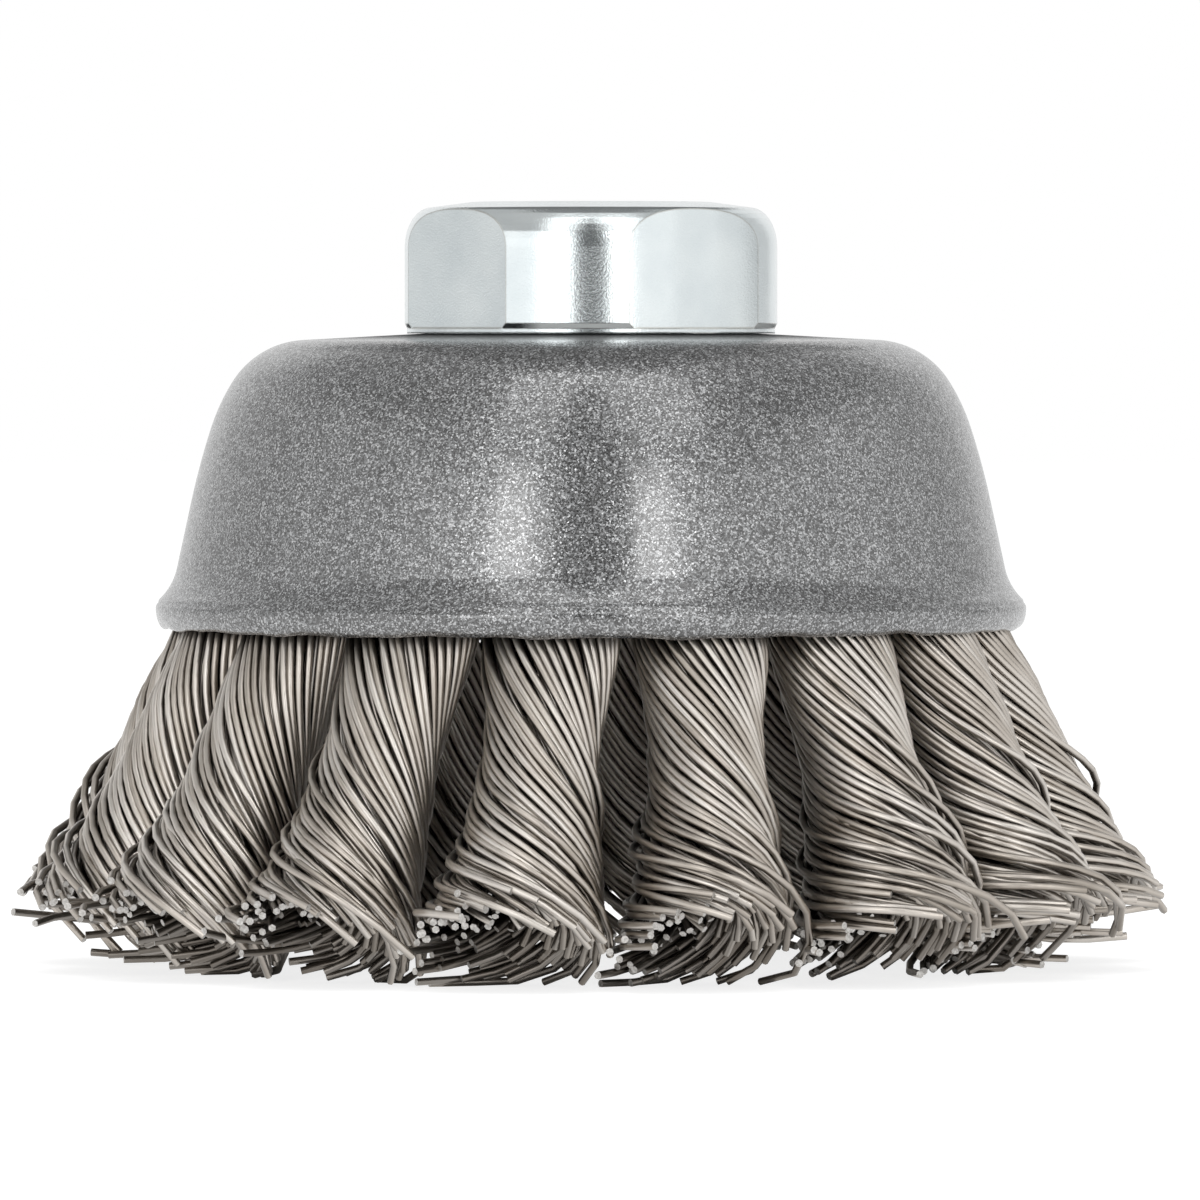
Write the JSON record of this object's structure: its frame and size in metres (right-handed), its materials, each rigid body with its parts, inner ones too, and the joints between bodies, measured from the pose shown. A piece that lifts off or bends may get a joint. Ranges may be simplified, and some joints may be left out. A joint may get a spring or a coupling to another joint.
{
  "type": "wire cup brush",
  "caption": "Knotted wire cup brush: twisted steel wire knots in a pressed cup, with a threaded spindle nut for an angle grinder.",
  "frame": {"origin": "centre of the circle of wire tips, on the plane that the lowest tips stand on", "axes": "+Z along the spindle axis, from the wire tips to the open end of the nut; -Y is the side that the picture shows"},
  "size_m": [0.0742, 0.0742, 0.0501],
  "materials": {
    "zinc_steel": "zinc plated",
    "grey_paint": "metal flake",
    "plate_steel": "satin",
    "wire_steel": "drawn"
  },
  "bodies": {
    "root": {"spindle_nut": "zinc_steel", "cup": "grey_paint", "holder_plate": "plate_steel", "retaining_ring": "plate_steel", "knot_01": "wire_steel", "knot_02": "wire_steel", "knot_03": "wire_steel", "knot_04": "wire_steel", "knot_05": "wire_steel", "knot_06": "wire_steel", "knot_07": "wire_steel", "knot_08": "wire_steel", "knot_09": "wire_steel", "knot_10": "wire_steel", "knot_11": "wire_steel", "knot_12": "wire_steel", "knot_13": "wire_steel", "knot_14": "wire_steel", "knot_15": "wire_steel", "knot_16": "wire_steel"}
  },
  "joints": []
}
